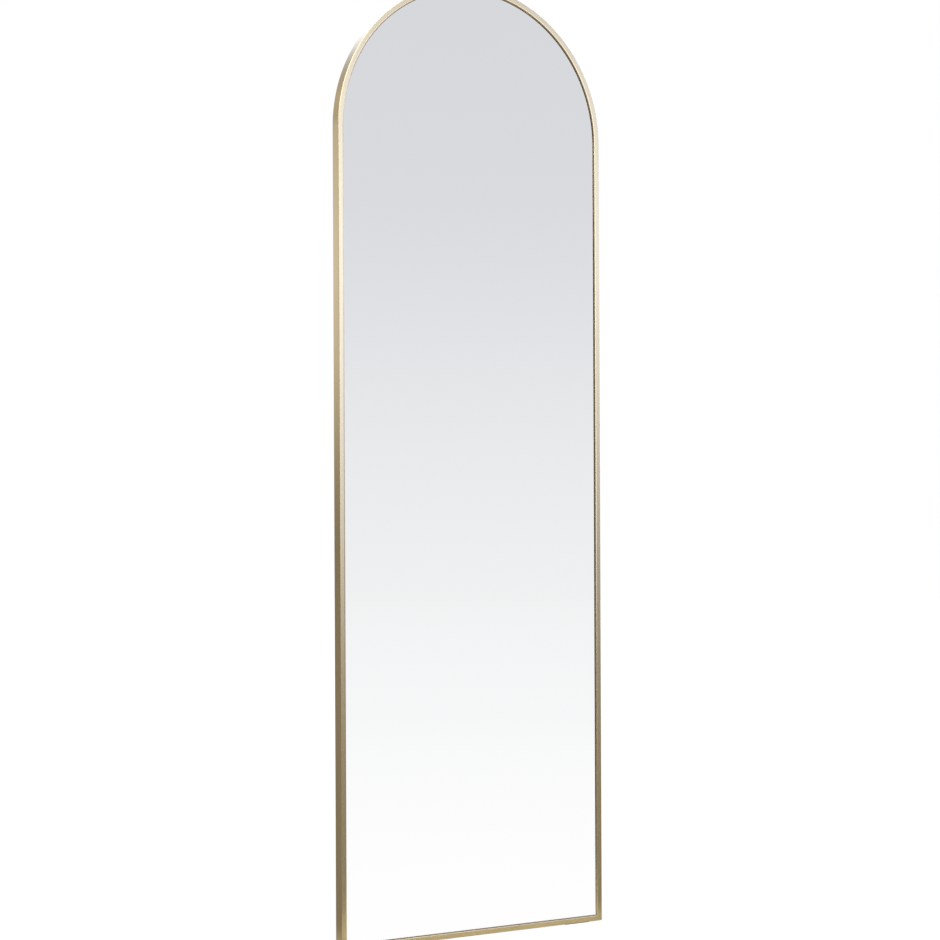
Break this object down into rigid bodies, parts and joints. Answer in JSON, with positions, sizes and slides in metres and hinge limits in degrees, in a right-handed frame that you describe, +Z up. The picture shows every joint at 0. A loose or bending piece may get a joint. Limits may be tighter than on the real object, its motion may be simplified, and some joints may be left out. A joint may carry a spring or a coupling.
{
  "type": "leaning floor mirror",
  "caption": "Tall arch-topped floor mirror in a slim bent metal frame, made to lean on a wall, with hanging rings, wall bumpers and foot pads.",
  "frame": {"origin": "on the floor, under the middle of the mirror's width and of its depth with the bumpers, with the mirror upright", "axes": "+X to the right seen from the front, -Y out of the reflecting face, +Y towards the wall, +Z up"},
  "size_m": [0.61, 0.028, 1.93],
  "materials": {
    "frame": "satin brushed, pale gold anodised",
    "glass": "polished, silvered behind",
    "board": "dark stained fibre board, matt",
    "film": "thin film",
    "card": "plain corrugated card",
    "tape": "closed-cell foam",
    "rubber": "matt moulded",
    "key": "plain zinc casting",
    "hanger": "nickel plated",
    "screw": "zinc plated"
  },
  "bodies": {
    "mirror": {"frame_bow": "frame", "bottom_rail": "frame", "corner_key_left": "key", "corner_key_right": "key", "bedding_tape": "tape", "mirror_glass": "glass", "safety_film": "film", "card_sheet": "card", "setting_block_left": "rubber", "setting_block_right": "rubber", "backing_board": "board", "board_screw_left_1": "screw", "board_screw_left_2": "screw", "board_screw_left_3": "screw", "board_screw_left_4": "screw", "board_screw_left_5": "screw", "board_screw_left_6": "screw", "board_screw_left_7": "screw", "board_screw_right_1": "screw", "board_screw_right_2": "screw", "board_screw_right_3": "screw", "board_screw_right_4": "screw", "board_screw_right_5": "screw", "board_screw_right_6": "screw", "board_screw_right_7": "screw", "board_screw_arch_1": "screw", "board_screw_arch_2": "screw", "board_screw_arch_3": "screw", "board_screw_rail_1": "screw", "board_screw_rail_2": "screw", "board_screw_rail_3": "screw", "hanger_screw_left_upper": "screw", "hanger_screw_left_lower": "screw", "hanger_screw_right_upper": "screw", "hanger_screw_right_lower": "screw", "bumper_screw_lower_left": "screw", "bumper_screw_lower_right": "screw", "bumper_screw_upper_left": "screw", "bumper_screw_upper_right": "screw", "hanger_strap_left": "hanger", "foot_pad_left": "rubber", "hanger_strap_right": "hanger", "foot_pad_right": "rubber", "bumper_lower_left": "rubber", "bumper_lower_right": "rubber", "bumper_upper_left": "rubber", "bumper_upper_right": "rubber"},
    "ring_left": {"hanger_ring_left": "hanger"},
    "ring_right": {"hanger_ring_right": "hanger"}
  },
  "joints": [
    {"name": "ring_left_swing", "type": "hinge", "parent": "mirror", "child": "ring_left", "pos_m": [-0.26, 0.0075, 1.48], "axis": [1, 0, 0], "range_deg": [0, 180]},
    {"name": "ring_right_swing", "type": "hinge", "parent": "mirror", "child": "ring_right", "pos_m": [0.26, 0.0075, 1.48], "axis": [1, 0, 0], "range_deg": [0, 180]}
  ]
}
